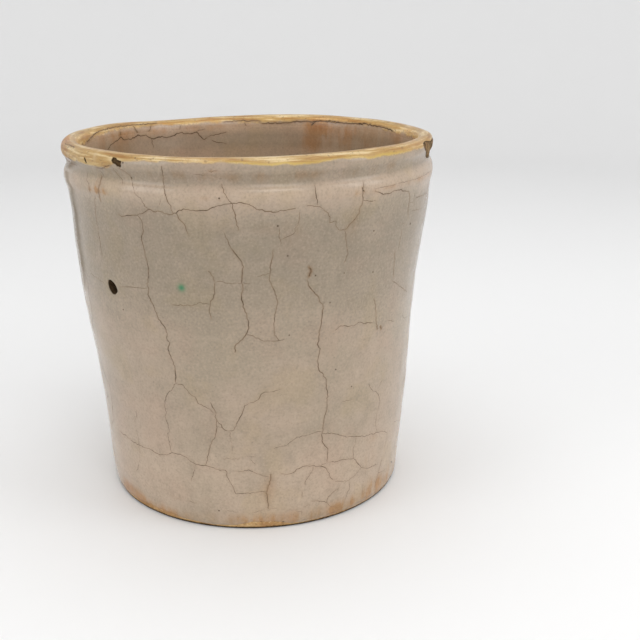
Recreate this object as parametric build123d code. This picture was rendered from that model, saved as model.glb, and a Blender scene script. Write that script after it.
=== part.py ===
from build123d import *
import os
from math import cos, radians, sin

# Wheel-thrown ceramic crock for salting and fermenting, open at the mouth.
#
# It is one fired pot: a clay body that carries three coats of glaze, which were poured or
# brushed on and melted to it. Each coat is a thin shell of its own that meets the clay face
# to face: a grey crackle coat on the outside wall, a liner coat on the inside wall and floor,
# and a yellow coat over the lip. The foot and the underside are bare clay.
#
# Frame: millimetres, origin at the centre of the underside, +Z up out of the mouth, -Y front.

# ---------------------------------------------------------------- driving dimensions
HEIGHT = 316.0          # underside to the flat of the lip
LIP_RADIUS = 160.0      # widest point of the lip
MOUTH_RADIUS = 145.0    # clear opening inside the lip
FOOT_RADIUS = 133.2     # outside of the foot
WALL = 13.0             # side wall, glaze included
FLOOR = 13.0            # floor at the centre, glaze included
GLAZE = 0.8             # thickness of every coat

# ---------------------------------------------------------------- foot and underside
FOOT_EDGE = 2.5         # rounded edge where the foot meets the table
RECESS_RADIUS = 116.0   # the underside is turned slightly hollow, so that the crock stands firm
RECESS_DEPTH = 1.5
BARE_FOOT = 5.0         # the outside coat stops this far above the table

# ---------------------------------------------------------------- outside wall and collar
WALL_TOP_Z = 278.0      # the wall ends here and the collar begins
WALL_TOP_RADIUS = 157.2
WALL_SAG = 0.9          # the wall curves in this much from a straight taper
BEAD_Z = 291.0          # raised bead that rings the pot under the lip
BEAD_RADIUS = 159.4
NECK_Z = 299.5          # groove between bead and lip
NECK_RADIUS = 156.3
LIP_Z = 308.0           # height of the lip's widest point

# ---------------------------------------------------------------- lip
CREST_OUTER = 154.5     # the lip's flat runs between these two radii
CREST_INNER = 150.5
LIP_SHOULDER = (158.3, 313.8)
THROAT_Z = 310.0        # the lip's inside curve meets the inside wall here

# ---------------------------------------------------------------- inside
INSIDE_CORNER = 22.0    # radius between inside wall and floor

# ---------------------------------------------------------------- where the coats change
RIM_COAT_OUTSIDE_Z = 311.0
RIM_COAT_INSIDE_Z = 307.0

# ---------------------------------------------------------------- damage that the pot carries
PIT_AZIMUTH = -47.0     # degrees from the front, towards +X
PIT_Z = 203.0
PIT_WIDTH = 9.0
PIT_DEPTH = 5.0
CHIP_AZIMUTH = 78.0
CHIP_Z = 307.0
CHIP_DEPTH = 2.6        # flat break in the lip, measured in from its widest point
CHIP_WIDTH = 60.0
CHIP_HEIGHT = 13.0
RIM_PITS = ((-38.0, 5.0), (-50.5, 3.0))  # azimuth, width
RIM_PIT_Z = 307.5
RIM_PIT_DEPTH = 2.5

PARTS = "parts"


def around(radius, azimuth, z):
    """The point at that radius, azimuth from the front and height."""
    return (radius * sin(radians(azimuth)), -radius * cos(radians(azimuth)), z)


def wall_radius(z):
    """Outside radius of the wall at height z."""
    share = (z - FOOT_EDGE) / (WALL_TOP_Z - FOOT_EDGE)
    straight = FOOT_RADIUS + share * (WALL_TOP_RADIUS - FOOT_RADIUS)
    return straight - 4 * WALL_SAG * share * (1 - share)


def plug(inset):
    """Half section of the pot as if it were solid, on the XZ plane.

    The inset takes that much off the glazed faces: 0 gives the glazed pot and the glaze
    thickness gives the bare clay under the coats.
    """
    foot_radius = FOOT_RADIUS - inset
    wall_mid = (FOOT_EDGE + WALL_TOP_Z) / 2
    slope = (WALL_TOP_RADIUS - FOOT_RADIUS) / (WALL_TOP_Z - FOOT_EDGE)
    top = HEIGHT - inset
    with BuildSketch(Plane.XZ) as section:
        with BuildLine():
            Polyline(
                (0, RECESS_DEPTH),
                (RECESS_RADIUS, RECESS_DEPTH),
                (RECESS_RADIUS + RECESS_DEPTH, 0),
                (foot_radius - FOOT_EDGE, 0),
            )
            RadiusArc((foot_radius - FOOT_EDGE, 0), (foot_radius, FOOT_EDGE), -FOOT_EDGE)
            ThreePointArc(
                (foot_radius, FOOT_EDGE),
                (wall_radius(wall_mid) - inset, wall_mid),
                (WALL_TOP_RADIUS - inset, WALL_TOP_Z),
            )
            Spline(
                [
                    (WALL_TOP_RADIUS - inset, WALL_TOP_Z),
                    (BEAD_RADIUS - inset, BEAD_Z),
                    (NECK_RADIUS - inset, NECK_Z),
                    (LIP_RADIUS - inset, LIP_Z),
                    (LIP_SHOULDER[0] - inset, LIP_SHOULDER[1] - inset / 2),
                    (CREST_OUTER, top),
                ],
                tangents=[(slope, 1), (-1, 0)],
            )
            Polyline((CREST_OUTER, top), (0, top), (0, RECESS_DEPTH))
        make_face()
    return section.sketch


def hollow(inset):
    """Half section of the space inside the pot, widened by the inset."""
    top = HEIGHT - inset
    corner_z = FLOOR + INSIDE_CORNER
    corner_radius = wall_radius(corner_z) - WALL
    corner_centre = corner_radius - INSIDE_CORNER
    corner_sweep = (INSIDE_CORNER + inset) * cos(radians(45))
    inside_mid = (corner_z + THROAT_Z) / 2
    with BuildSketch(Plane.XZ) as section:
        with BuildLine():
            Spline(
                [(CREST_INNER, top), (MOUTH_RADIUS + inset, THROAT_Z)],
                tangents=[(-1, 0), (0, -1)],
            )
            ThreePointArc(
                (MOUTH_RADIUS + inset, THROAT_Z),
                (wall_radius(inside_mid) - WALL + inset, inside_mid),
                (corner_radius + inset, corner_z),
            )
            ThreePointArc(
                (corner_radius + inset, corner_z),
                (corner_centre + corner_sweep, corner_z - corner_sweep),
                (corner_centre, FLOOR - inset),
            )
            Polyline(
                (corner_centre, FLOOR - inset),
                (0, FLOOR - inset),
                (0, top),
                (CREST_INNER, top),
            )
        make_face()
    return section.sketch


def band(low_z, high_z):
    """The strip of the section plane between two heights."""
    reach = LIP_RADIUS + WALL
    with BuildSketch(Plane.XZ) as strip:
        with Locations((reach / 2, (low_z + high_z) / 2)):
            Rectangle(reach, high_z - low_z)
    return strip.sketch


def sections():
    """Half sections of the clay and of the three coats, by node name."""
    above = HEIGHT + WALL
    outer_skin = plug(0) - plug(GLAZE)
    inner_skin = hollow(GLAZE) - hollow(0)
    outer = outer_skin & band(BARE_FOOT, RIM_COAT_OUTSIDE_Z)
    inner = inner_skin & band(0, RIM_COAT_INSIDE_Z)
    rim = (outer_skin & band(RIM_COAT_OUTSIDE_Z, above)) - hollow(0)
    rim = rim + (inner_skin & band(RIM_COAT_INSIDE_Z, above))
    clay = plug(0) - hollow(0) - outer - inner - rim
    return {"clay_body": clay, "outer_glaze": outer, "rim_glaze": rim, "inner_glaze": inner}


def bored(radius, azimuth, z, width, depth):
    """A round cutter that enters the pot to that depth, square to its axis."""
    return (
        Pos(*around(radius, azimuth, z))
        * Rot(0, 0, azimuth)
        * Rot(90, 0, 0)
        * Cylinder(width / 2, 2 * depth)
    )


def damage():
    """The lost material: one deep pit in the wall, a spall off the lip and small rim pits."""
    pit = bored(wall_radius(PIT_Z), PIT_AZIMUTH, PIT_Z, PIT_WIDTH, PIT_DEPTH)
    break_middle = LIP_RADIUS - CHIP_DEPTH + CHIP_WIDTH / 2
    spall = (
        Pos(*around(break_middle, CHIP_AZIMUTH, CHIP_Z))
        * Rot(0, 0, CHIP_AZIMUTH)
        * Box(CHIP_WIDTH, CHIP_WIDTH, CHIP_HEIGHT)
    )
    rim_pits = [
        bored(LIP_RADIUS, azimuth, RIM_PIT_Z, width, RIM_PIT_DEPTH)
        for azimuth, width in RIM_PITS
    ]
    return [pit, spall, *rim_pits]


def main():
    os.makedirs(PARTS, exist_ok=True)
    for name, section in sections().items():
        solid = revolve(section, Axis.Z)
        for cutter in damage():
            solid -= cutter
        export_step(solid, f"{PARTS}/{name}.step")
        print(name, round(solid.volume / 1000, 1), "cm3", len(solid.solids()), "solid")


main()
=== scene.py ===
import math
import random

import bpy
import numpy as np
from mathutils import Matrix, Vector, noise
from mathutils.geometry import delaunay_2d_cdt
from mathutils.kdtree import KDTree

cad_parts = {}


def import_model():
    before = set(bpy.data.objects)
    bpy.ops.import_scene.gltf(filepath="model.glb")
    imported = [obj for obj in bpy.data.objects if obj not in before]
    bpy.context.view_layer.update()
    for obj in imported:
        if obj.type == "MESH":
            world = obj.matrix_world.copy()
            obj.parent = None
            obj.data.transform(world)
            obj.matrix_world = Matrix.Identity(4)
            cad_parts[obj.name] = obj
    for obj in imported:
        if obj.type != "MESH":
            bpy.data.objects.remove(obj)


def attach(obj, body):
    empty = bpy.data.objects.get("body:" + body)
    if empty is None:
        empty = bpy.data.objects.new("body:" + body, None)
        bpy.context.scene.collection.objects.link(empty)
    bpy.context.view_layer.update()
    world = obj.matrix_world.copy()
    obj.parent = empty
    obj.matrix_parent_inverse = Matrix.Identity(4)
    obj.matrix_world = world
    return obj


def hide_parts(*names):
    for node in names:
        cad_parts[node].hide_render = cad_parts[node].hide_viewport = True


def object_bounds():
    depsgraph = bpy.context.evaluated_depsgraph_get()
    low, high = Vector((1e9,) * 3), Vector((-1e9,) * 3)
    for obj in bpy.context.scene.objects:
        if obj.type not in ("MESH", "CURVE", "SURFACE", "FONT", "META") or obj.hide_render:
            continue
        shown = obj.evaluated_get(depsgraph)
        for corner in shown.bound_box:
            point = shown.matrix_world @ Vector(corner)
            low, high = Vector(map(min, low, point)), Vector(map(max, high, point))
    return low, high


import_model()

CAD_LOW, CAD_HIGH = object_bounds()

# A ceramic crock: fired clay under three coats of crackled glaze. Its sizes are in millimetres,
# azimuths are in degrees from the front (-Y) towards +X, and MM turns millimetres to the frame.
HEIGHT = 316.0
MM = (CAD_HIGH.z - CAD_LOW.z) / HEIGHT
AXIS_X = (CAD_LOW.x + CAD_HIGH.x) / 2
AXIS_Y = (CAD_LOW.y + CAD_HIGH.y) / 2

# The section, as (radius, height), from near the middle of the underside to the floor's corner inside.
UNDERSIDE = [(6, 1.5), (60, 1.5), (112, 1.5), (116, 0.5), (119, 0), (129, 0), (131.6, 0.7)]
OUTSIDE = [(132.8, 3), (133.7, 10), (135, 25), (137.1, 55), (139.8, 90), (143.6, 130), (146.7, 160),
           (149.8, 195), (152.6, 225), (154.9, 250), (156.7, 270), (157.6, 276.5), (158.8, 281),
           (159.2, 286), (158.2, 290.5), (156.3, 293.3), (155.9, 296), (157, 300), (158.9, 303.5),
           (159.4, 307), (158.4, 310.5)]
LIP = [(156.5, 312.8), (154, 313.8), (150.5, 313.9), (147.8, 312.8), (146, 310.5), (145.1, 307.5)]
INSIDE = [(144.8, 304), (144.4, 298), (143.6, 288), (139.7, 240), (134.2, 171.5), (128.1, 100),
          (122.7, 35)]
CORNER = 22.0
FLOOR_HEIGHT = 13.0
JOIN_OUTSIDE = 309.0
JOIN_INSIDE = 303.2
FOOT_EDGE = 6.5
# Where the outside glaze ends above the floor, as (azimuth, height).
FOOT_GLAZE = [(-180, 4.5), (-130, 5.5), (-90, 3.5), (-62, 3.2), (-50, 4.4), (-44, 6.6), (-33, 5.6),
              (-27, 3.4), (-14, 2.8), (-8, 4.5), (-2, 7.5), (6, 7.0), (12, 2.9), (40, 2.4), (60, 2.9),
              (90, 4.0), (135, 5.0), (180, 4.5)]

# How thick the coats are, and how deep the clay lies under the section below them and on the foot.
COAT = 0.9
CLAY_UNDER_COAT = 0.85
BARE_FOOT_UNDER = 0.6

# The crock leans and bulges a little: its middle line as (height, offset in X), and its lip slopes.
MIDDLE = [(0, 2.5), (25, 1.9), (55, 2.5), (90, 2.5), (125, 1.3), (160, -0.5), (195, -1.1), (225, -0.5),
          (250, 0.8), (270, 0.9), (290, 0.4), (316, 0)]
LIP_SLOPE = 0.0125
SLOPE_FROM = 255.0
SLOPE_OVER = 35.0
# How far the lip sags below that slope, as (azimuth, mm).
LIP_SAG = [(0, 0), (80, 0), (92, 0.7), (106, 1.2), (128, 0.4), (155, 0.2), (180, 1.1), (200, 1.9),
           (217, 1.7), (232, 0.3), (250, 0), (360, 0)]
SAG_FROM = 297.0
SAG_OVER = 13.0

# Cracks in the glaze, as the (azimuth, height) points where each one turns.
STRONG = [
    [(-23.5, 307.5), (-23.5, 304), (-24, 296.5), (-23.5, 291), (-22.5, 281.5), (-21.5, 272)],
    [(-40, 266.5), (-39, 265), (-35, 267.5), (-33, 268), (-28.5, 274), (-27.5, 272.5), (-25.5, 273),
     (-24, 271.5), (-22.5, 271), (-20.5, 272.5), (-19.5, 275), (-17, 276), (-15, 275), (-12, 275.5),
     (-9, 279), (-7, 280.5), (-3, 282), (-0.5, 280.5), (0.5, 279), (1.5, 276.5), (6.5, 274), (12, 276)],
    [(-20.5, 272.5), (-20, 268.5), (-18.5, 264.5), (-17.5, 256.5)],
    [(-33, 268), (-32, 265), (-31.5, 260.5), (-31.5, 256), (-32.5, 250), (-31.5, 238), (-30.5, 226.5),
     (-30.5, 220.5), (-31.5, 214), (-31, 208.5), (-31.5, 205), (-29.5, 194.5), (-28.5, 186),
     (-26.5, 179.5), (-26, 174.5), (-26.5, 171), (-25.5, 167), (-26.5, 161), (-25.5, 152), (-25, 147),
     (-25.5, 131)],
    [(-14.5, 117.5), (-13, 108.5), (-13.5, 105), (-11, 94.5), (-10, 93), (-9, 93), (-7.5, 94),
     (-5, 106.5), (-4, 112), (-3.5, 116), (-2, 118.5)],
    [(-13, 103), (-13.5, 92), (-14, 87), (-16, 78.5), (-16.5, 73), (-17.5, 63), (-18, 59.5)],
    [(-59.5, 65), (-57, 63.5), (-55, 65), (-52, 63), (-44.5, 62), (-41.5, 63), (-40, 62.5), (-38, 61),
     (-36.5, 60.5), (-35, 61.5), (-33, 62.5), (-31, 65.5), (-27.5, 66), (-25.5, 64.5), (-24, 62),
     (-22.5, 60.5), (-21.5, 59), (-20, 59), (-18, 59.5), (-13, 56), (-11, 56.5), (-10.5, 54.5),
     (-10.5, 50), (-8.5, 41.5), (-8, 37), (-7.5, 34.5), (-1, 35.5), (0.5, 36.5), (3, 36)],
    [(-7.5, 295), (-7, 289.5), (-6, 285), (-5, 281.5), (-3.5, 261)],
    [(-5.5, 246.5), (-3, 238), (-2, 232.5), (-2.5, 220), (-2, 215), (-2.5, 210), (-2.5, 206.5),
     (-1.5, 196.5), (-1, 193.5), (-1, 191), (-0.5, 187.5), (-0.5, 183), (-1.5, 177.5), (-2.5, 173.5),
     (-4.5, 169.5), (-5, 166), (-5, 162.5)],
    [(17.5, 292), (17.5, 286.5), (18, 281), (18, 277.5)],
    [(16.5, 219.5), (17, 215), (20.5, 204.5), (21, 200), (22, 198), (22, 191), (21.5, 179.5), (21, 175),
     (21, 168), (20.5, 165), (21.5, 161), (20.5, 151), (21, 142.5), (22, 140), (22.5, 136.5),
     (23.5, 133), (23.5, 126), (24, 123), (24, 119.5), (24, 114.5), (24, 110), (24, 107.5), (23, 99),
     (22.5, 85.5), (22.5, 81), (22.5, 77.5), (25, 69), (25, 56.5)],
    [(8, 52.5), (9.5, 51.5), (11.5, 51.5), (13, 53), (13.5, 55), (16.5, 57), (19, 56), (20.5, 54.5),
     (22.5, 54), (24, 52), (25, 49.5), (27, 40), (28, 37.5)],
    [(20, 21.5), (24, 19), (26, 16.5), (26, 19.5), (26.5, 22), (29.5, 26.5), (31, 28)],
    [(22.5, 84.5), (24.5, 84), (28.5, 80.5), (32.5, 75), (35, 74), (40, 71), (41.5, 69), (44, 69),
     (51, 66), (54.5, 62.5), (56, 60)],
    [(25.5, 56), (28, 54.5), (32, 54.5), (35, 52.5), (36.5, 52.5), (39, 45.5), (40, 43), (41, 40),
     (44, 36.5), (46.5, 35), (49.5, 34.5), (51, 33.5)],
    [(36.5, 283), (40, 279), (40.5, 279.5), (42.5, 279), (45, 280.5), (47, 280), (51, 277.5),
     (52.5, 277), (53.5, 274), (54, 268.5), (53.5, 263.5), (54, 258)],
]

BROWN = [
    [(27, 256.5), (31.5, 267.5), (31.5, 270.5), (32.5, 275.5), (32, 284.5), (32.5, 291)],
    [(4.5, 52.5), (4.5, 47), (3, 35), (3.5, 31), (4, 19)],
    [(51, 11), (54.5, 36.5)],
    [(-46.2, 295), (-46, 289), (-46.8, 284.5), (-47, 276)],
    [(-51.5, 287), (-51.3, 281)],
    [(-47.5, 301.2), (-45, 301.2), (-43.5, 302.5), (-42, 304), (-40.5, 305.5)],
]

MEDIUM = [
    [(15, 278), (18, 276.5), (20, 274)],
    [(20, 274.5), (22, 267.5), (22, 263.5), (24, 264), (24, 260), (25, 257), (27, 256.5)],
    [(32.5, 277.5), (35.5, 275.5), (37.5, 275.5)],
    [(27, 255.5), (28.5, 240.5), (29, 236.5), (28, 230)],
    [(-34, 293.5), (-33, 290), (-32.5, 285.5), (-30.5, 281), (-30, 276), (-28.5, 274)],
    [(-39.8, 303), (-39.5, 300), (-38, 295.5), (-37, 291)],
    [(-37.5, 303.5), (-36, 301.5), (-34.5, 298.5), (-34, 293.5)],
    [(-46.5, 300), (-45, 294)],
    [(-88, 306), (-80, 302.5), (-72, 300), (-66, 299), (-60, 299.5)],
    [(-25.5, 131), (-26.5, 129.5), (-27.5, 125), (-29.5, 120.5), (-30.5, 116.5), (-31.5, 109),
     (-31.5, 104), (-31, 102.5), (-32, 99), (-31.5, 93.5), (-31, 85.5), (-32, 83), (-31, 66)],
    [(-25.5, 131), (-23, 130.5), (-22, 127), (-21, 123), (-19.5, 121), (-19, 116), (-15, 111.5),
     (-13.5, 107)],
    [(-2, 118.5), (-0.5, 119), (1.5, 123), (2.5, 127), (7.5, 129), (8.5, 130)],
    [(-21.5, 59), (-22.5, 52), (-23.5, 42.5)],
    [(-12, 229), (-10.5, 224.5), (-10, 220), (-10.5, 207.5), (-11.5, 204.5), (-12, 195.5),
     (-11.5, 190.5)],
    [(-7.5, 259.5), (-7, 255), (-5.5, 246.5)],
    [(6, 245), (5.5, 227.5), (5.5, 220.5), (6.5, 215), (7.5, 208.5), (8, 203.5), (7.5, 196.5), (7, 190),
     (7, 176.5), (8, 173), (8.5, 171.5)],
    [(-7.5, 56), (-5, 56), (-3, 57.5), (0, 53.5), (4, 50)],
    [(22.5, 54.5), (24.5, 55.5)],
    [(19.5, 55), (19.5, 52), (18, 46), (17, 42.5), (17, 38.5)],
    [(16, 32.5), (16, 27)],
    [(5.5, 76.5), (7, 77.5), (9.5, 78), (10.5, 80), (12, 82.5), (13.5, 85), (16, 85), (21, 87),
     (22.5, 85.5)],
    [(14, 14), (16, 13.5), (16, 10)],
    [(16, 15), (17.5, 18), (19, 19)],
    [(-30.5, 22), (-29, 23)],
    [(-25, 23), (-22, 22)],
    [(26, 16.5), (27.5, 12), (30, 10)],
    [(41.5, 118.5), (44, 110), (45.5, 108.5), (47, 105.5), (48, 101.5), (48.5, 97), (47, 84),
     (47, 76.5), (48.5, 67.5)],
    [(49.5, 70), (50, 67.5)],
    [(37, 71.5), (37, 69.5), (37, 66), (36, 62), (36.5, 52.5)],
    [(41, 40), (38.5, 35), (37, 33), (35.5, 32), (34, 32), (30.5, 34.5), (29, 35)],
    [(35.5, 32), (36, 24.5), (35, 20.5), (34, 12)],
    [(52.5, 24), (54.5, 22.5), (60.5, 20.5)],
    [(61.5, 23), (63.5, 21.5), (65, 22.5), (67.5, 19)],
    [(25.5, 174), (26.5, 174.5), (28.5, 177.5), (32, 175.5), (34, 175.5), (36, 177), (37.5, 175),
     (42, 173)],
    [(41.5, 193.5), (42.5, 188), (43.5, 173), (44.5, 167)],
    [(58, 269.5), (60.5, 269.5), (65, 268.5), (68, 269), (72, 266.5)],
    [(49.5, 228.5), (50.5, 211), (51, 207.5)],
    [(50.5, 204), (64, 185.5)],
    [(-54, 296), (-53, 290), (-51.5, 287)],
    [(-49, 279), (-50.5, 272), (-51, 260.5), (-51, 248.5), (-50.5, 243.5), (-50, 228.5)],
    [(-45.5, 95.5), (-46, 90), (-47.5, 85), (-48, 81)],
    [(-48, 43), (-49, 37.5), (-50, 35)],
]

FAINT = [
    [(8, 253), (11.5, 257), (13, 267.5), (13, 271), (13, 274)],
    [(-10.6, 304.6), (-8.4, 304.9), (-7.4, 304.5)],
    [(-5.8, 304.9), (-3.8, 304.6)],
    [(-15, 301.6), (-14, 301.9), (-12, 301)],
    [(36, 284.6), (42, 285), (50, 285.4), (58, 285), (66, 285.6), (72, 285)],
    [(-25.5, 276.5), (-24.5, 282.5)],
    [(-9, 93), (-9, 89), (-8.5, 80.5), (-8.5, 73.5)],
    [(-13.5, 96.5), (-12, 96), (-10, 93.5)],
    [(-10, 220), (-8.5, 221), (-6.5, 219.5), (0, 219.5)],
    [(-12, 202), (-15, 203), (-17, 200), (-23.5, 199.5)],
    [(-45, 204), (-42.5, 206.5), (-38.5, 208.5), (-31.5, 210)],
    [(-1.5, 177.5), (0, 177), (3.5, 172), (8, 171.5), (10, 172.5)],
    [(7.5, 262), (7.5, 257), (8, 248.5)],
    [(1.5, 224), (5.5, 227)],
    [(-2, 16.5), (2, 19), (4, 19), (6, 20), (8, 19.5)],
    [(-12, 67), (-6.5, 67), (-5, 69.5), (-3, 70), (-0.5, 69.5)],
    [(-2.5, 67), (-0.5, 61.5)],
    [(-12, 18), (-10.5, 18.5), (-7.5, 17)],
    [(56, 60), (56.5, 53), (55, 46)],
    [(47, 110), (49.5, 116.5)],
    [(44, 36), (44, 32), (43, 18.5), (43, 11)],
    [(54, 267.5), (56.5, 267)],
    [(54.5, 260.5), (66.5, 258)],
    [(57, 274), (57.5, 264.5)],
    [(50, 253), (53.5, 250.5)],
    [(51.5, 247), (51.5, 231)],
    [(30, 110), (34.5, 109)],
    [(50, 170), (52, 168.5), (54, 166.5)],
    [(60, 170), (63, 163), (65, 161.5), (68.5, 160.5)],
    [(62, 65), (71.5, 58.5)],
    [(-60, 208.5), (-55, 207), (-51, 205)],
    [(-51, 32), (-50, 26), (-49.5, 19)],
    [(-48, 81), (-47.2, 73), (-46.6, 63), (-47, 52), (-48, 43)],
]

INSIDE_STRONG = [
    [(246, 292), (244, 296), (238.5, 300), (237, 302), (235, 298.5), (230, 299), (228, 301.5),
     (226.5, 300), (224, 300.5), (222.5, 297.5), (221, 296), (216.5, 297.5), (214.5, 295.5),
     (212.5, 296.5), (208.5, 299.5), (204.5, 297.5), (202, 299), (201, 297.5), (200, 294), (198.5, 291),
     (197.5, 292.5)],
]

INSIDE_MEDIUM = [
    [(195.5, 290), (193.5, 287.5), (189.5, 285.5)],
    [(202, 299), (200.5, 301), (198, 302)],
    [(208.5, 299.5), (208.5, 303.5)],
    [(221.5, 296), (221.5, 292), (221, 287.5)],
    [(224, 300.5), (222.5, 303.5)],
    [(181.5, 302), (182, 304.5)],
    [(189.5, 297.5), (197, 294)],
    [(154.5, 304), (155.5, 300.5)],
]

# Cracks across the floor inside, as (x, y) in mm from the middle of the floor, seen from above.
FLOOR_CRACKS = [
    [(-98, 46), (-72, 34), (-48, 46), (-20, 38), (6, 46), (34, 42), (60, 54), (88, 50)],
    [(-20, 38), (-26, 62), (-18, 86), (-24, 104)],
    [(34, 42), (44, 10), (38, -22), (52, -50), (46, -84)],
    [(-72, 34), (-66, 4), (-78, -30), (-62, -66)],
    [(44, 10), (72, -4), (96, 2)],
    [(-78, -30), (-50, -38), (-30, -62), (-34, -92)],
]

# Short wide nicks in the outside glaze.
NICKS = [
    [(17, 229), (17.5, 226), (17, 222.5)],
    [(32, 287), (32.5, 284)],
    [(44, 168.5), (44.5, 166)],
    [(46, 167), (46.5, 165)],
]

# Cracks across the lip: on its outer face, and on its inner face.
LIP_OUTER = [
    [(-72, 312.2), (-66, 312.9), (-61, 312.7)],
    [(-88, 311), (-84, 312), (-80, 311.4)],
]
LIP_INNER_ROUGH = [
    [(112.5, 307), (119, 308.5), (125, 308.5), (130, 309.5), (134, 308.5), (140, 308), (145, 308.5),
     (151, 309), (153, 308), (158, 308), (163, 307), (171, 306), (175, 306)],
    [(153, 308), (154.5, 304.5)],
]
LIP_INNER_TORN = [
    [(129.5, 309.5), (133.5, 308.7)],
    [(143, 308.3), (148.5, 308.9)],
]
LIP_INNER = [
    [(262, 305), (256, 308), (250, 310.5), (240, 311.5), (228, 311.5), (218, 312)],
    [(228, 304), (228.5, 306), (229.5, 310.5)],
    [(222.5, 304.5), (221.5, 307), (221, 309.5)],
    [(208.5, 304), (208, 308)],
    [(181.5, 304), (182, 307.5)],
    [(237, 304), (237, 306)],
    [(190, 309), (184, 309.5), (176, 308.5)],
]

# The crack's width and how dark its stained edges are, for each list.
CRACK_LISTS = [(STRONG, 0.53, 0.45), (BROWN, 0.40, 0.8), (MEDIUM, 0.39, 0.36), (FAINT, 0.28, 0.25),
               (NICKS, 1.5, 1.0)]
# The share of those widths and stains that is left at a height on the outside, as (height, share).
CRACK_SHARES = [(20, 0.68), (90, 0.74), (130, 0.84), (170, 0.97), (240, 0.94), (285, 0.81), (300, 0.87),
                (312, 1.0)]
INSIDE_LISTS = [(INSIDE_STRONG, 0.75, 0.7), (INSIDE_MEDIUM, 0.5, 0.45)]
LIP_OUTER_LOOK = (0.34, 0.9)
FLOOR_LOOK = (0.5, 0.45)
LIP_INNER_LISTS = [(LIP_INNER_ROUGH, 0.75, 0.9), (LIP_INNER_TORN, 1.8, 1.0), (LIP_INNER, 0.5, 0.8)]

# Small dark specks in the outside glaze: (azimuth, height, diameter).
SPECKS = [(19, 222.5, 1.6), (-8.2, 285, 1.8), (39.7, 217.5, 1.6), (37.7, 252, 1.6), (56.4, 249.5, 2.4),
          (24.4, 198.5, 1.4), (11.5, 175.5, 1.4), (10.2, 240, 1.6), (7.1, 263.5, 1.8),
          (-34.2, 296.5, 1.8), (-42.5, 187.5, 1.6), (27, 140.5, 1.5), (33.5, 121.5, 1.5),
          (28.4, 221.5, 1.2), (-13.8, 17.5, 1.8), (-35.8, 308, 2.0), (65.8, 21, 3.0), (-5, 5.2, 2.2),
          (1, 7.5, 1.6), (9, 5.5, 2.2), (-72, 303, 3.0), (-76, 299, 2.6), (-79, 305, 3.0),
          (-74, 310.5, 2.6), (-78, 312.5, 3.0), (-84, 313.5, 3.0), (-70, 307, 2.2), (-81, 313.2, 2.4),
          (4, 5.4, 1.8), (-66, 311.3, 2.2), (-61.5, 312.6, 1.8), (-32, 311.8, 1.5), (-40, 4.5, 2.0),
          (-36, 3.6, 1.6)]
# A green copper speck, in the same way.
COPPER_SPECKS = [(-20, 214, 9.0)]

# Rust and food stains, one of them inside also painted shade: (azimuth, height, half width in degrees,
# half height, strength).
OUTSIDE_STAINS = [(-47.5, 283.6, 5, 1.5, 1.6), (-47, 288, 2.5, 7, 0.5), (10, 300, 80, 5, 0.5),
                  (-70, 302, 8, 6, 0.6), (2, 8, 22, 7, 0.8), (55, 12, 9, 12, 1.0),
                  (-13, 284, 7, 2.0, 0.6), (30, 283, 12, 2.5, 0.4), (-38, 3, 10, 7, 1.4),
                  (-56, 7, 12, 9, 1.4), (-60, 9, 3, 6, 0.8), (-52, 5, 4, 4, 0.8), (32, 8, 20, 8, 0.8),
                  (29, 262, 4, 16, 0.35), (11, 258, 4, 14, 0.3), (66, 284, 12, 3, 0.3),
                  (4, 38, 4, 18, 0.35), (48, 64, 10, 5, 0.3), (80, 8, 14, 10, 0.6),
                  (-79, 312, 8, 5, 1.8), (84, 306, 7, 5, 0.7), (45, 44, 16, 12, 0.25),
                  (-2, 262, 16, 6, 0.2), (-9.5, 304.8, 2, 1.2, 0.5), (48, 284, 26, 2.2, 0.35)]
# the stain at azimuth 243 browns the inner left wall and darkens it as painted shade
INSIDE_STAINS_AND_SHADE = [(143, 295, 14, 14, 1.1), (151, 304, 7, 7, 1.0), (206, 304, 32, 5, 0.6),
                 (122, 296, 10, 14, 0.35), (243, 292, 20, 20, 0.5), (108, 300, 5, 8, 0.5),
                 (156, 285, 8, 10, 0.5)]

# Where the lower edge of the yellow is a stronger ochre.
OCHRE = [(8, 309, 16, 6, 0.9), (41, 310, 11, 7, 1.0), (-52, 304, 12, 5, 0.4)]
# Height at which the yellow of the lip starts, outside and inside, as (azimuth, height).
YELLOW_FROM = [(-180, 308.5), (-120, 308), (-85, 303), (-66, 303), (-55, 303.5), (-46, 302), (-42, 303),
               (-39, 307), (-35, 309.3), (-28, 310.3), (-14, 310.6), (-5, 310.3), (0, 309.2),
               (5, 308.4), (18, 308.4), (23, 309.8), (29, 309.8), (33, 308), (50, 308), (90, 308),
               (140, 309), (180, 308.5)]
YELLOW_INSIDE_FROM = [(0, 308), (100, 307.5), (112, 307.5), (128, 309.5), (150, 309.5), (175, 307.5),
                      (190, 309.5), (215, 310.5), (240, 310), (265, 306), (285, 303.5), (300, 306),
                      (360, 308)]

# Soft patches of thin yellow under the lip, like the stains.
YELLOW_PATCHES = [(-28.5, 302.8, 5, 2.0, 1.0)]
# Where the glaze is paler and pinker (more than 0) or darker and greener (less than 0), by height.
# Much of it is painted light and shade: lighter low down and on the bead, darker high on the body,
# in the neck and in a band under the bead inside, and lighter on the lip's inner face.
TONE_AND_LIGHT_OUTSIDE = [(0, 0.4), (20, 1.0), (50, 0.9), (80, 0.3), (110, 0.1), (150, 0.05), (175, -0.2),
                (200, -0.8), (240, -1.3), (262, -1.2), (272, -0.6), (281, 0.4), (287, 0.95), (292, 0.7),
                (295, -0.8), (300, -1.0), (304, -0.3), (316, 0)]
TONE_AND_LIGHT_INSIDE = [(0, 0), (200, 0), (262, 0.2), (272, 0.5), (280, 0.4), (286, -0.5), (294, -0.4),
               (300, 1.0), (306, 1.8), (310.5, 1.8), (313.9, 0.2)]


def smoothstep(x):
    x = np.clip(x, 0, 1)
    return x * x * (3 - 2 * x)


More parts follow.
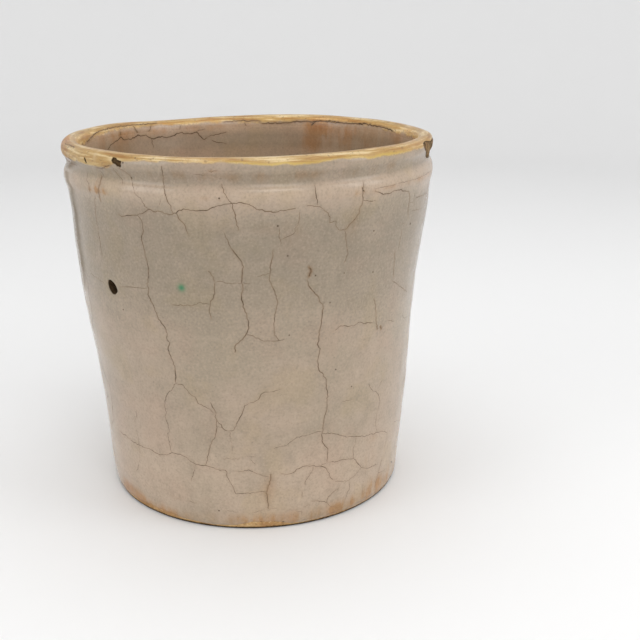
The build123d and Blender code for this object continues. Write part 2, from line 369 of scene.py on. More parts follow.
def value_at(where, rows):
    """The value at a place, between the (place, value) rows."""
    return np.interp(where, *np.array(rows).T)


def mix(a, b, t, start, end):
    """Between a at t = start and b at t = end."""
    return (a * (end - t) + b * (t - start)) / (end - start)


def through(points, step):
    """Points about step apart on a smooth curve through the given ones (centripetal Catmull-Rom)."""
    p = [np.array(q, float) for q in points]
    p = [2 * p[0] - p[1], *p, 2 * p[-1] - p[-2]]
    found = []
    for a, b, c, d in zip(p, p[1:], p[2:], p[3:]):
        gaps = [np.linalg.norm(v - u) ** 0.5 for u, v in ((a, b), (b, c), (c, d))]
        t0, t1, t2, t3 = np.cumsum([0] + gaps)
        count = max(1, round(np.linalg.norm(c - b) / step))
        t = np.linspace(t1, t2, count, endpoint=False)[:, None]
        ab, bc, cd = mix(a, b, t, t0, t1), mix(b, c, t, t1, t2), mix(c, d, t, t2, t3)
        found.append(mix(mix(ab, bc, t, t0, t2), mix(bc, cd, t, t1, t3), t, t1, t2))
    return np.vstack([*found, p[-2][None]])


class Skin:
    """The crock's face: a section turned about the middle. A point is (azimuth, way along it)."""

    STEP = 0.4

    def __init__(self):
        wall = through(UNDERSIDE + OUTSIDE + LIP + INSIDE, self.STEP)
        wall_radius, wall_height = INSIDE[-1]
        turn = np.linspace(0, math.pi / 2, 90)[1:]
        corner = np.column_stack([wall_radius - CORNER * (1 - np.cos(turn)),
                                  wall_height - CORNER * np.sin(turn)])
        floor_radii = np.arange(corner[-1, 0] - self.STEP, 0, -self.STEP)
        floor = np.column_stack([floor_radii, np.full(len(floor_radii), FLOOR_HEIGHT)])
        section = np.vstack([wall, corner, floor, [[0.01, FLOOR_HEIGHT]]])
        self.radius = section[:, 0]
        self.height = np.maximum(section[:, 1], 0)
        steps = np.hypot(np.diff(self.radius), np.diff(self.height))
        self.along = np.concatenate([[0], np.cumsum(steps)])
        slope_r, slope_z = np.gradient(self.radius, self.along), np.gradient(self.height, self.along)
        size = np.hypot(slope_r, slope_z)
        self.normal_r, self.normal_z = slope_z / size, -slope_r / size
        shrink = steps / ((self.radius[1:] + self.radius[:-1]) / 2)
        self.plane_radius = np.exp(-np.concatenate([[0], np.cumsum(shrink)]))
        self.crest = int(np.argmax(self.height))
        self.foot = len(through(UNDERSIDE, self.STEP)) - 1
        self.end = self.along[-1]

    def outside(self, height):
        """The way along the section to a height on the outside."""
        part = slice(self.foot, self.crest + 1)
        return np.interp(height, self.height[part], self.along[part])

    def inside(self, height):
        """The way along the section to a height on the inside wall."""
        part = slice(self.crest, len(self.height))
        return np.interp(-np.asarray(height, float), -self.height[part], self.along[part])

    def radius_at(self, along):
        return np.interp(along, self.along, self.radius)

    def mm_per_degree(self, along, least_radius=0):
        return math.pi / 180 * max(float(self.radius_at(along)), least_radius)

    def height_at(self, along):
        return np.interp(along, self.along, self.height)

    def point(self, azimuth, along, depth):
        """Places on the crock in mm, depth under its smooth face."""
        radius = self.radius_at(along) - depth * np.interp(along, self.along, self.normal_r)
        height = self.height_at(along) - depth * np.interp(along, self.along, self.normal_z)
        turn = np.radians(azimuth)
        x = value_at(height, MIDDLE_CURVE) + radius * np.sin(turn)
        lift = LIP_SLOPE * x * smoothstep((height - SLOPE_FROM) / SLOPE_OVER)
        sag = value_at(np.asarray(azimuth) % 360, SAG_CURVE)
        lift = lift - sag * smoothstep((height - SAG_FROM) / SAG_OVER)
        return np.column_stack([x, -radius * np.cos(turn), height + lift])

    def to_plane(self, azimuth, along):
        """A map of the skin that keeps angles. Rings round the crock are rings in it too."""
        rho = np.interp(along, self.along, self.plane_radius)
        turn = np.radians(azimuth)
        return np.column_stack([rho * np.cos(turn), rho * np.sin(turn)])

    def from_plane(self, flat):
        rho = np.hypot(flat[:, 0], flat[:, 1])
        azimuth = np.degrees(np.arctan2(flat[:, 1], flat[:, 0]))
        return azimuth, np.interp(-rho, -self.plane_radius, self.along)


MIDDLE_CURVE = through(MIDDLE, 5)
SAG_CURVE = through(LIP_SAG, 2)
SKIN = Skin()


def lumps(azimuth, along):
    """How far a hand-thrown wall stands out from its smooth section."""
    turn = np.radians(azimuth)
    rings = (0.07 * np.sin(along / 2.9 + 0.8 * np.sin(turn + 1))
             + 0.10 * np.sin(along / 6.7 + np.sin(turn)))
    waves = (0.22 * np.sin(3 * turn + along / 37) + 0.17 * np.sin(5 * turn - along / 29 + 2)
             + 0.10 * np.sin(9 * turn + along / 17 + 1) + 0.06 * np.sin(16 * turn - along / 11))
    fade = smoothstep((SKIN.radius_at(along) - 60) / 60) * smoothstep((along - SKIN.outside(8)) / 20)
    return (rings + waves) * fade


class Near:
    """Finds the nearest of some places on the skin, and the values kept with it."""

    def __init__(self, azimuth, along, *values):
        self.values = [np.asarray(v, float) for v in values]
        self.tree = KDTree(len(azimuth))
        for i, place in enumerate(SKIN.point(np.asarray(azimuth, float), np.asarray(along, float), 0)):
            self.tree.insert(place, i)
        self.tree.balance()
        self.empty = len(azimuth) == 0

    def look(self, azimuth, along):
        """The distances in mm to the nearest places, and their values."""
        if self.empty:
            return [np.full(len(azimuth), 1e6), *[np.zeros(len(azimuth)) for _ in self.values]]
        hits = [self.tree.find(p) for p in SKIN.point(azimuth, along, 0)]
        index = np.array([h[1] for h in hits])
        return [np.array([h[2] for h in hits]), *[v[index] for v in self.values]]


def subdivide(path, step, rough, rng, closed=False):
    """A (azimuth, along) path cut into short steps that stray a little from it."""
    ends = path + path[:1] if closed else path
    found = []
    for (a0, s0), (a1, s1) in zip(ends, ends[1:]):
        mm_per_degree = SKIN.mm_per_degree((s0 + s1) / 2)
        across, up = (a1 - a0) * mm_per_degree, s1 - s0
        length = math.hypot(across, up)
        if length < 1e-6:
            continue
        count = max(1, round(length / step))
        for i in range(count):
            t = i / count
            stray = rng.gauss(0, rough) if i else 0.0
            found.append((a0 + (a1 - a0) * t - up / length * stray / mm_per_degree,
                          s0 + up * t + across / length * stray))
    return found if closed else found + [path[-1]]


def offset(path, distances):
    """The path moved sideways by a distance in mm at each of its points."""
    moved = []
    for i, (a, s) in enumerate(path):
        (a0, s0), (a1, s1) = path[max(i - 1, 0)], path[min(i + 1, len(path) - 1)]
        mm_per_degree = SKIN.mm_per_degree(s, 5)
        across, up = (a1 - a0) * mm_per_degree, s1 - s0
        length = math.hypot(across, up) or 1.0
        moved.append((a - up / length * distances[i] / mm_per_degree,
                      s + across / length * distances[i]))
    return moved


def share_at(along):
    """The share of a crack's width that is left at a way along the section."""
    heights, shares = np.array(CRACK_SHARES).T
    return np.interp(along, SKIN.outside(heights), shares)


class Crack:
    """A crack line: its points, and half its width at each, narrow at the ends."""

    STEP = 1.9
    STRAY = 0.3
    CLOSE = 10

    def __init__(self, path, width, stain, rng):
        self.path = subdivide(path, self.STEP, self.STRAY, rng)
        count = len(self.path)
        ends = [min(1.0, (min(i, count - 1 - i) + 0.8) / 2) for i in range(count)]
        phase = rng.uniform(0, 6)
        slow = [1 + 0.32 * math.sin(0.5 * i + phase) for i in range(count)]
        share = share_at(np.array([s for _, s in self.path]))
        self.half = [width / 2 * e * s * f * rng.uniform(0.75, 1.25)
                     for e, s, f in zip(ends, slow, share)]
        self.stain = stain * share.mean() * rng.uniform(0.7, 1.25)

    def samples(self):
        """Close points of the centreline, with half the width and the stain at each."""
        rows = []
        for p, q, h0, h1 in zip(self.path, self.path[1:], self.half, self.half[1:]):
            for t in np.linspace(0, 1, self.CLOSE + 1)[:-1]:
                azimuth, along = p[0] + (q[0] - p[0]) * t, p[1] + (q[1] - p[1]) * t
                rows.append((azimuth, along, h0 + (h1 - h0) * t, self.stain))
        return rows


def grow(rng, taken, start, heading, reach, low, high):
    """A crack that wanders off until it tires, meets another, or comes to the wall's end."""
    step, path, preferred = 4.5, [start], heading
    for i in range(int(reach / step)):
        heading += rng.gauss(0, 0.42) + 0.4 * (preferred - heading)
        azimuth, along = path[-1]
        mm_per_degree = SKIN.mm_per_degree(along, 12)
        point = (azimuth + step * math.cos(heading) / mm_per_degree, along + step * math.sin(heading))
        if not low < point[1] < high:
            break
        path.append(point)
        others = np.array(taken)
        across = (others[:, 0] - point[0] + 180) % 360 - 180
        apart = np.hypot(across, (others[:, 1] - point[1]) / mm_per_degree)
        if i > 0 and apart.min() * mm_per_degree < step:
            path.append(taken[int(apart.argmin())])
            break
    return path


TRUNK_LOOKS = [(0.52, 0.45), (0.46, 0.4), (0.42, 0.6)]
BRANCH_LOOK = (0.34, 0.3)


def network(rng, taken, azimuths, low, high, trunks, branches):
    """Cracks that wander and meet, with widths and stains. taken are points of cracks already there."""
    cracks, taken = [], list(taken)
    for i in range(trunks + branches):
        upright = rng.random() < 0.62
        heading = (math.pi / 2 if upright else 0) + rng.gauss(0, 0.25)
        if i < trunks:
            start = (rng.uniform(*azimuths), rng.uniform(low + 8, high - 8))
            reach = rng.uniform(50, 150) if upright else rng.uniform(35, 85)
            first = grow(rng, taken, start, heading, reach, low, high)
            second = grow(rng, taken, start, heading + math.pi, reach, low, high)
            path = first[::-1] + second[1:]
            look = rng.choice(TRUNK_LOOKS)
        else:
            start = rng.choice([p for path, *_ in cracks for p in path[1:-1]])
            heading += rng.choice([0, math.pi])
            path = grow(rng, taken, start, heading, rng.uniform(12, 55), low, high)
            look = BRANCH_LOOK
        if len(path) > 3:
            cracks.append((path, *look))
            taken += path
    return cracks


# Chips that break the edge between the outside and the lip: their lower and upper edges, left to right.
LIP_CHIPS = [
    ([(62.4, 309), (63, 306.5), (65, 303.5), (68, 299), (70.5, 296), (75, 294.5), (80, 295),
      (84, 298), (86.5, 303), (88, 309)],
     [(62.4, 309), (63, 311.5), (66, 312), (69.5, 310.8), (72, 309.8), (78, 310.3), (84, 310.6),
      (88, 309)]),
    ([(-40.4, 309), (-39.8, 306.6), (-38.8, 306), (-38.3, 304.4), (-37, 304), (-36.4, 306.5),
      (-36.6, 309)],
     [(-40.4, 309), (-39.9, 311.2), (-38.9, 311), (-38.2, 309.7), (-36.6, 309)]),
]
# Holes through the outside glaze: (azimuth, height, width, height, lean in degrees for each mm down).
HOLES = [(-46.7, 204, 11.5, 12.2, 0.10), (-52.4, 305.4, 3.4, 5.0, 0.1)]
# How deep the clay is broken away, and how dark it is made, in the holes and then in the chips: dirty
# clay in the chips, and painted shade with dirty clay in the deep pit.
BROKEN = [(8.0, 1.0), (2.0, 0.85), (0.45, 0.62), (2.2, 0.74)]
# One that goes deeper than this is a pit with steep sides, its clay made fully dark as painted shade and
# dirty clay.
PIT_FROM = 5.0


def outline_of_hole(azimuth, height, width, tall, lean, rng):
    """An uneven round outline, as (azimuth, along), turning left as seen from outside."""
    middle = float(SKIN.outside(height))
    mm_per_degree = SKIN.mm_per_degree(middle)
    count = max(10, round(math.pi * (width + tall) / 2 / 0.9))
    outline = []
    for i in range(count):
        turn = 2 * math.pi * i / count
        wave = 0.05 * math.sin(2 * turn + 0.7) + 0.05 * math.sin(3 * turn + 2)
        size = 1 + wave + rng.uniform(-0.03, 0.03)
        rise = tall / 2 * size * math.sin(turn)
        across = width / 2 * size * math.cos(turn) / mm_per_degree
        outline.append((azimuth + across - lean * rise, middle + rise))
    return outline


def along_outside(path):
    return [(a, float(SKIN.outside(z))) for a, z in path]


def along_inside(path):
    return [(a, float(SKIN.inside(z))) for a, z in path]


def along_floor(path):
    """A path over the floor in (x, y) as a close path in (azimuth, along)."""
    ends = np.array(path, float)
    x, y = np.vstack([np.linspace(a, b, 6)[:-1] for a, b in zip(ends, ends[1:])] + [ends[-1:]]).T
    azimuth = np.degrees(np.unwrap(np.arctan2(x, -y)))
    return [(float(a), float(s)) for a, s in zip(azimuth, SKIN.end - np.hypot(x, y))]


def chip_edges(chip, rng):
    low, high = (subdivide(along_outside(edge), 1.0, 0.15, rng) for edge in chip)
    return low, high


def ring(along, chips=()):
    """A loop round the crock, going up or down round the chips where it meets them."""
    count = 288
    loop = [(-180 + 360 * i / count, along) for i in range(count)]
    for edge in chips:
        start, end = edge[0][0], edge[-1][0]
        loop = [p for p in loop if not start - 0.3 < p[0] < end + 0.3] + edge
    return sorted(loop)


def spread(low, high, step, rng):
    """Uneven points over the skin between two ways along the section."""
    found, s = [], low
    while s < high:
        gap = step(s) if callable(step) else step
        count = max(6, round(2 * math.pi * max(SKIN.radius_at(s), 0.5) / gap))
        shift = rng.random()
        for i in range(count):
            azimuth = -180 + 360 * (i + shift + rng.uniform(-0.22, 0.22)) / count
            found.append((azimuth, s + gap * rng.uniform(-0.2, 0.2)))
        s += gap * 0.88
    return found


def inside_any(outlines, azimuth, along):
    """For each point, the number of the outline that it is in, or -1."""
    found = np.full(len(azimuth), -1)
    for number, outline in enumerate(outlines):
        a, s = np.array(outline).T
        a2, s2 = np.roll(a, -1), np.roll(s, -1)
        inside = np.zeros(len(azimuth), bool)
        for p0, q0, p1, q1 in zip(a, s, a2, s2):
            crosses = (q0 > along) != (q1 > along)
            with np.errstate(divide="ignore", invalid="ignore"):
                inside ^= crosses & (azimuth < (p1 - p0) * (along - q0) / (q1 - q0) + p0)
        found[inside] = number
    return found


def triangulate(outer, holes, points, edges):
    """Triangles over the skin inside the outer loop and outside the holes, through the edges."""
    listed, faces = [], []
    for loop in [outer, *holes]:
        faces.append(list(range(len(listed), len(listed) + len(loop))))
        listed = listed + loop
    first = len(listed)
    azimuth, along = np.array(listed + points).T
    flat = SKIN.to_plane(azimuth, along)
    size = np.hypot(*flat[0])
    places = [Vector(p) for p in flat / size]
    lines = [(a + first, b + first) for a, b in edges]
    verts, _, triangles, came_from, _, within = delaunay_2d_cdt(places, lines, faces, 0, 1e-7)
    kept = np.array([t for t, f in zip(triangles, within) if f == [0]])
    went_to = {source: i for i, sources in enumerate(came_from) for source in sources}
    used = np.unique(kept)
    renumber = np.full(len(verts), -1)
    renumber[used] = np.arange(len(used))
    azimuth, along = SKIN.from_plane(np.array([tuple(verts[i]) for i in used]) * size)
    loops = [[int(renumber[went_to[i]]) for i in face] for face in faces]
    return azimuth, along, renumber[kept], loops


def crack_lines(cracks):
    """Points and edges that carry the cracks' centrelines and sides, and their close samples."""
    points, edges, samples = [], [], []
    for crack in cracks:
        half = np.array(crack.half)
        for side in (0, -1, 1):
            line = offset(crack.path, half * side)
            start = len(points)
            points += line
            edges += [(start + i, start + i + 1) for i in range(len(line) - 1)]
        for reach in (0.8, 2.0):
            for side in (-1, 1):
                points += offset(crack.path, side * (half + reach))[::1 if reach < 1 else 2]
        samples += crack.samples()
    return points, edges, samples


def keep_inside(path, low, high, outlines):
    """The longest stretch of a path that is between low and high and outside the outlines."""
    azimuth, along = np.array(path).T
    fine = (along > low + 0.6) & (along < high - 0.6) & (inside_any(outlines, azimuth, along) < 0)
    best, run = [], []
    for point, good in zip(path, fine):
        run = run + [point] if good else []
        best = run if len(run) > len(best) else best
    return best


def placed(name, data):
    """An object with this mesh, light or camera, put in the scene."""
    made = bpy.data.objects.new(name, data)
    bpy.context.scene.collection.objects.link(made)
    return made


def mesh_object(name, places, faces, materials, slots, attributes, normals=None):
    mesh = bpy.data.meshes.new(name)
    mesh.from_pydata(places * MM + np.array([AXIS_X, AXIS_Y, CAD_LOW.z]), [], faces)
    for material in materials:
        mesh.materials.append(material)
    mesh.polygons.foreach_set("material_index", slots)
    mesh.shade_smooth()
    for key, values in attributes.items():
        layer = mesh.attributes.new(key, "FLOAT", "POINT")
        layer.data.foreach_set("value", np.asarray(values, np.float32))
    mesh.validate()
    if normals is not None:
        mesh.normals_split_custom_set_from_vertices(normals)
    return placed(name, mesh)


def skin_normals(azimuth, along, depth_at):
    """Directions square to the uneven face, from its slope over a fraction of a millimetre."""
    reach = 0.4
    turn = np.degrees(reach / np.maximum(SKIN.radius_at(along), 2))
    right = SKIN.point(azimuth + turn, along, depth_at(azimuth + turn, along))
    left = SKIN.point(azimuth - turn, along, depth_at(azimuth - turn, along))
    up = SKIN.point(azimuth, along + reach, depth_at(azimuth, along + reach))
    down = SKIN.point(azimuth, along - reach, depth_at(azimuth, along - reach))
    normal = np.cross(right - left, up - down)
    return normal / np.linalg.norm(normal, axis=1)[:, None]


def around_mark(azimuth, along, size):
    """Points in rings round the middle of a speck."""
    mm_per_degree = SKIN.mm_per_degree(along)
    points, count = [(azimuth, along)], 9
    for share in (0.35, 0.7, 1.05, 1.5):
        for i in range(count):
            turn = 2 * math.pi * (i + share) / count
            points.append((azimuth + share * size / 2 * math.cos(turn) / mm_per_degree,
                           along + share * size / 2 * math.sin(turn)))
    return points


def hidden_step(along):
    """How far apart the points of a hidden face may be: close where the section bends."""
    return 2.6 if SKIN.outside(266) < along < SKIN.inside(296) else 8.0


class Coat:
    """A closed coat of glaze: a detailed face, a plain back, and walls between them at every loop."""

    EDGE = 0.9
    EDGE_DROP = 0.45
    GROOVE = 1.1
    STAIN_REACH = 1.3

    def __init__(self, name, outer, holes, ragged, cracks, marks, high, step, seed):
        """ragged are the loops where the glaze ends in a rounded edge, and marks are small specks."""
        rng = random.Random(seed)
        low = min(s for _, s in outer)
        edge = [p for loop in ragged for p in subdivide(loop, 0.5, 0, rng, True)]
        self.edge_near = Near(*np.array(edge).T) if edge else Near([], [])
        points, edges, samples = crack_lines(cracks)
        self.crack_near = Near(*np.array(samples).T) if samples else Near([], [], [], [])
        for mark in marks:
            points += around_mark(*mark)
        for loop in ragged:
            for reach in (0.5, -0.5, 1.2, -1.2, 2.2, -2.2):
                points += offset(loop + loop[:1], [reach] * (len(loop) + 1))[:-1]
        loops = Near(*np.array([p for loop in [outer, *holes] for p in loop]).T)
        detail = Near(*np.array(points).T) if points else Near([], [])
        grid = spread(low, high, step, rng)
        azimuth, along = np.array(grid).T
        clear = (loops.look(azimuth, along)[0] > 1.2) & (detail.look(azimuth, along)[0] > 1.3)
        grid = [p for p, good in zip(grid, clear) if good]
        if points:
            azimuth, along = np.array(points).T
            safe = loops.look(azimuth, along)[0] > 0.25
            renumber = np.cumsum(safe) - 1
            points = [p for p, good in zip(points, safe) if good]
            edges = [(int(renumber[a]), int(renumber[b])) for a, b in edges if safe[a] and safe[b]]
        self.face = triangulate(outer, holes, points + grid, edges)
        coarse = spread(low, high, hidden_step, rng)
        azimuth, along = np.array(coarse).T
        coarse = [p for p, d in zip(coarse, loops.look(azimuth, along)[0]) if d > 1.6]
        self.back = triangulate(outer, holes, coarse, [])
        self.name = name

    def depth_at(self, azimuth, along):
        """How deep the face lies: the lumps of the wall, and the rounded edges of the coat."""
        near_edge = np.clip(1 - self.edge_near.look(azimuth, along)[0] / self.EDGE, 0, 1)
        return -lumps(azimuth, along) + self.EDGE_DROP * near_edge ** 2

    def made(self, materials, paint):
        azimuth, along, triangles, loops = self.face
        distance, half, stain = self.crack_near.look(azimuth, along)
        groove = np.clip(1 - distance / np.maximum(half, 0.05), 0, 1)
        depth = self.depth_at(azimuth, along)
        places = SKIN.point(azimuth, along, depth + groove * half * self.GROOVE)
        normals = skin_normals(azimuth, along, self.depth_at)
        back_azimuth, back_along, back_triangles, back_loops = self.back
        back = SKIN.point(back_azimuth, back_along, COAT - lumps(back_azimuth, back_along))
        count = len(places)
        walls = []
        for number, (front, behind) in enumerate(zip(loops, back_loops)):
            for i in range(len(front)):
                j = (i + 1) % len(front)
                quad = (front[j], front[i], behind[i] + count, behind[j] + count)
                walls.append(quad if number == 0 else quad[::-1])
        faces = triangles.tolist() + (back_triangles[:, ::-1] + count).tolist() + walls
        painted = paint(azimuth, along)
        painted["crack_stain"] = stain * np.exp(-distance / self.STAIN_REACH)
        padding = np.zeros(len(back))
        attributes = {key: np.concatenate([values, padding]) for key, values in painted.items()}
        distance, half, _ = self.crack_near.look(*middles(azimuth, along, triangles))
        slots = np.zeros(len(faces), int)
        slots[:len(triangles)] = distance < half * 1.02
        places = np.vstack([places, back])
        normals = np.vstack([normals, np.zeros((len(back), 3))])
        return mesh_object(self.name, places, faces, materials, slots, attributes, normals)


def middles(azimuth, along, triangles):
    """The middles of the triangles, with azimuths that cross the back joined up."""
    turns, ways = azimuth[triangles], along[triangles]
    turns = np.where(turns - turns[:, :1] > 180, turns - 360, turns)
    turns = np.where(turns - turns[:, :1] < -180, turns + 360, turns)
    return turns.mean(1), ways.mean(1)


STRONGEST_STAIN = 2.0


def blots(stains, azimuth, height):
    """How strong soft oval stains are at each point."""
    found = np.zeros(len(azimuth))
    for middle, level, half_width, half_height, strength in stains:
        across = (azimuth - middle + 180) % 360 - 180
        found += strength * np.exp(-(across / half_width) ** 2 - ((height - level) / half_height) ** 2)
    return np.minimum(found, STRONGEST_STAIN)


def near_marks(marks):
    azimuth, along, size = np.array(marks).T
    return Near(azimuth, along, size)


def on_outside(marks):
    """The marks with ways along the section in place of their heights."""
    return [(azimuth, float(SKIN.outside(height)), size) for azimuth, height, size in marks]


SPECK_MARKS, COPPER_MARKS = on_outside(SPECKS), on_outside(COPPER_SPECKS)
SPECKS_NEAR, COPPER_NEAR = near_marks(SPECK_MARKS), near_marks(COPPER_MARKS)


def paint_skin(azimuth, along):
    """Where the glaze is yellow, pale, brown, ochre, rusty, specked or coppery; its paleness by height
    is largely painted light and shade, and one inside stain is painted shade too.
    """
    height = SKIN.height_at(along)
    outside = along < SKIN.along[SKIN.crest]
    above_outside = height - value_at(azimuth, YELLOW_FROM) + 6 * blots(YELLOW_PATCHES, azimuth, height)
    above_inside = 0.5 * (height - value_at(azimuth % 360, YELLOW_INSIDE_FROM)) + 0.4
    rust_outside = blots(OUTSIDE_STAINS, azimuth, height)
    rust_and_shade_inside = blots(INSIDE_STAINS_AND_SHADE, azimuth, height)
    speck_distance, speck_size = SPECKS_NEAR.look(azimuth, along)
    copper_distance, copper_size = COPPER_NEAR.look(azimuth, along)
    return {
        "over_yellow": np.where(outside, above_outside, above_inside),
        # partly the glaze's tint, partly painted light and shade by height
        "tone": np.where(outside, value_at(height, TONE_AND_LIGHT_OUTSIDE), value_at(height, TONE_AND_LIGHT_INSIDE)),
        "inner": np.where(outside, 0.0, smoothstep((312 - height) / 8)),
        "ochre": np.where(outside, blots(OCHRE, azimuth, height), 0.0),
        "rust": np.where(outside, rust_outside, rust_and_shade_inside),
        "speck": 1 - smoothstep((speck_distance / np.maximum(speck_size, 0.1) - 0.2) / 0.4),
        "copper": np.exp(-(copper_distance / np.maximum(copper_size, 0.1) / 0.36) ** 1.5),
    }


def clay_depth(azimuth, along, outlines):
    """How deep the clay lies under the face of the glaze, and how dark it is made: dirty in the chips,
    dirty and painted with shade in the deep pit, and painted with a contact shadow just above the floor.
    """
    height = SKIN.height_at(along)
    outside = along < SKIN.along[SKIN.crest]
    bare = BARE_FOOT_UNDER * smoothstep((along - SKIN.along[SKIN.foot] + 1) / 4)
    glazed = smoothstep((height - FOOT_EDGE - 2) / 4)
    depth = np.where(outside, bare + (CLAY_UNDER_COAT - bare) * glazed, CLAY_UNDER_COAT)
    on_foot = np.where(outside, smoothstep((along - SKIN.along[SKIN.foot]) / 2) * (1 - glazed), 0)
    places = SKIN.point(azimuth, along, 0)
    rough = np.array([noise.noise(Vector(p) / 1.7) for p in places])
    coarse = np.array([noise.noise(Vector(p) / 4.5) for p in places])
    depth += on_foot * (0.25 * rough + 0.35 * np.clip(coarse, 0, 1))
    inside = inside_any(outlines, azimuth, along) >= 0
    rims = np.array([(*p, i) for i, outline in enumerate(outlines) for p in outline]).T
    distance, nearest = Near(*rims).look(azimuth, along)
    deepest, dirt_and_shade_level = np.array(BROKEN)[nearest.astype(int)].T
    pit = deepest > PIT_FROM
    into = distance * inside
    hollow = smoothstep(into / np.where(pit, 1.3, 1.6)) ** 0.8
    ridges = 0.22 * np.sin(azimuth * 1.1 + height * 0.5 + coarse * 5) + 0.8 * coarse + 0.6 * rough
    depth += hollow * (deepest - CLAY_UNDER_COAT + 0.3 * ridges)
    rim = np.exp(-(distance / 0.8) ** 2)
    # the deep pit is made fully dark: painted shade in the hole, with dirty clay
    broken = np.where(pit, 1.0, dirt_and_shade_level + 0.3 * np.clip(-ridges, -1, 1) + 0.45 * rim)
    # painted contact shadow: the clay is darkened just above the floor round the foot
    painted_contact_shadow = 1 - smoothstep((height - 1.5) / 1.0)
    dirt_and_painted_shade = np.where(inside | (distance < 1.3), broken, 0) + 0.97 * painted_contact_shadow * (along > 110) * outside
    return depth - lumps(azimuth, along), np.clip(dirt_and_painted_shade, 0, 1)


def clay_object(outlines, materials, seed):
    """The fired clay under the glaze, broken away where the glaze is gone."""
    rng = random.Random(seed)
    count, fine_step, broken_step = 36, 1.5, 0.85
    start = [(-180 + 360 * i / count, 0.0) for i in range(count)]
    points = spread(6, SKIN.end, hidden_step, rng)
    foot = SKIN.along[SKIN.foot]
    fine = spread(foot - 3, SKIN.outside(FOOT_EDGE + 4), fine_step, rng)
    low = min(s for outline in outlines for _, s in outline) - 2
    high = max(s for outline in outlines for _, s in outline) + 2
    close = spread(low, high, broken_step, rng)
    edges = Near(*np.array([p for outline in outlines for p in outline]).T)
    azimuth, along = np.array(close).T
    wanted = (inside_any(outlines, azimuth, along) >= 0) | (edges.look(azimuth, along)[0] < 1.5)
    points += fine + [p for p, good in zip(close, wanted) if good]
    azimuth, along, triangles, loops = triangulate(start, [], points, [])
    depth, dirt_and_painted_shade = clay_depth(azimuth, along, outlines)
    places = SKIN.point(azimuth, along, depth)
    places[:, 2] = np.maximum(places[:, 2], 0)
    faces = triangles.tolist() + [loops[0][::-1]]
    slots = np.zeros(len(faces), int)
    return mesh_object("fired_clay_body", places, faces, materials, slots, {"dirt_and_painted_shade": dirt_and_painted_shade})


# Materials.

def node(tree, kind, inputs=None, **settings):
    """A shader node with its settings made and its inputs set or linked."""
    made = tree.nodes.new(kind)
    for key, value in settings.items():
        setattr(made, key, value)
    for key, value in (inputs or {}).items():
        if isinstance(value, bpy.types.NodeSocket):
            tree.links.new(value, made.inputs[key])
        else:
            made.inputs[key].default_value = value
    return made


def new_material(name):
    material = bpy.data.materials.new(name)
    material.use_nodes = True
    material.node_tree.nodes.clear()
    return material, material.node_tree


def attribute(tree, name):
    return node(tree, "ShaderNodeAttribute", attribute_name=name).outputs["Fac"]


def noise_value(tree, coordinates, scale, detail=3.0, roughness=0.55):
    made = node(tree, "ShaderNodeTexNoise", {"Vector": coordinates, "Scale": scale, "Detail": detail,
                                             "Roughness": roughness})
    return made.outputs["Fac"]


def stretched(tree, coordinates, scale):
    return node(tree, "ShaderNodeMapping", {"Vector": coordinates, "Scale": scale}).outputs["Vector"]


def brushed_round(tree, where, lengthways, across):
    """Noise drawn out into streaks that run round the crock, on the lip's top as on its sides."""
    flat = stretched(tree, where, (1, 1, 0))
    radius = node(tree, "ShaderNodeVectorMath", {0: flat}, operation="LENGTH").outputs["Value"]
    share = lengthways / across
    made = node(tree, "ShaderNodeTexNoise", {
        "Vector": stretched(tree, where, (share, share, 1)), "W": radius, "Scale": across, "Detail": 4.0,
        "Roughness": 0.6}, noise_dimensions="4D")
    return made.outputs["Fac"]


def between(tree, value, low, high, to_low=0.0, to_high=1.0):
    """A value that rises smoothly from to_low to to_high while another goes from low to high."""
    made = node(tree, "ShaderNodeMapRange", {
        "Value": value, "From Min": low, "From Max": high, "To Min": to_low, "To Max": to_high,
    }, interpolation_type="SMOOTHSTEP")
    return made.outputs["Result"]


def math_of(tree, operation, a, b):
    return node(tree, "ShaderNodeMath", {0: a, 1: b}, operation=operation).outputs[0]


def blended(tree, factor, a, b, blend_type="MIX"):
    """Colour b over colour a, by a factor."""
    made = node(tree, "ShaderNodeMix", data_type="RGBA", blend_type=blend_type)
    for socket, value in (("Factor_Float", factor), ("A_Color", a), ("B_Color", b)):
        target = next(i for i in made.inputs if i.identifier == socket)
        if isinstance(value, bpy.types.NodeSocket):
            tree.links.new(value, target)
        else:
            target.default_value = value if isinstance(value, float) else (*value, 1)
    return next(o for o in made.outputs if o.identifier == "Result_Color")


def surface(tree, colour, roughness, bump=None, strength=0.2, distance=0.0003, **constants):
    inputs = {"Base Color": colour, "Roughness": roughness, **constants}
    shader = node(tree, "ShaderNodeBsdfPrincipled", inputs)
    if bump is not None:
        made = node(tree, "ShaderNodeBump", {"Height": bump, "Strength": strength, "Distance": distance})
        tree.links.new(made.outputs["Normal"], shader.inputs["Normal"])
    node(tree, "ShaderNodeOutputMaterial", {"Surface": shader.outputs["BSDF"]})


def layered(tree, colour, layers):
    """Tints over a colour, each coming in while a value goes from low to high, up to an amount."""
    for value, low, high, amount, tint, blend_type in layers:
        colour = blended(tree, between(tree, value, low, high, 0.0, amount), colour, tint, blend_type)
    return colour


def times(factor, colour):
    """A lighter or darker colour."""
    return tuple(min(1.0, factor * c) for c in colour)


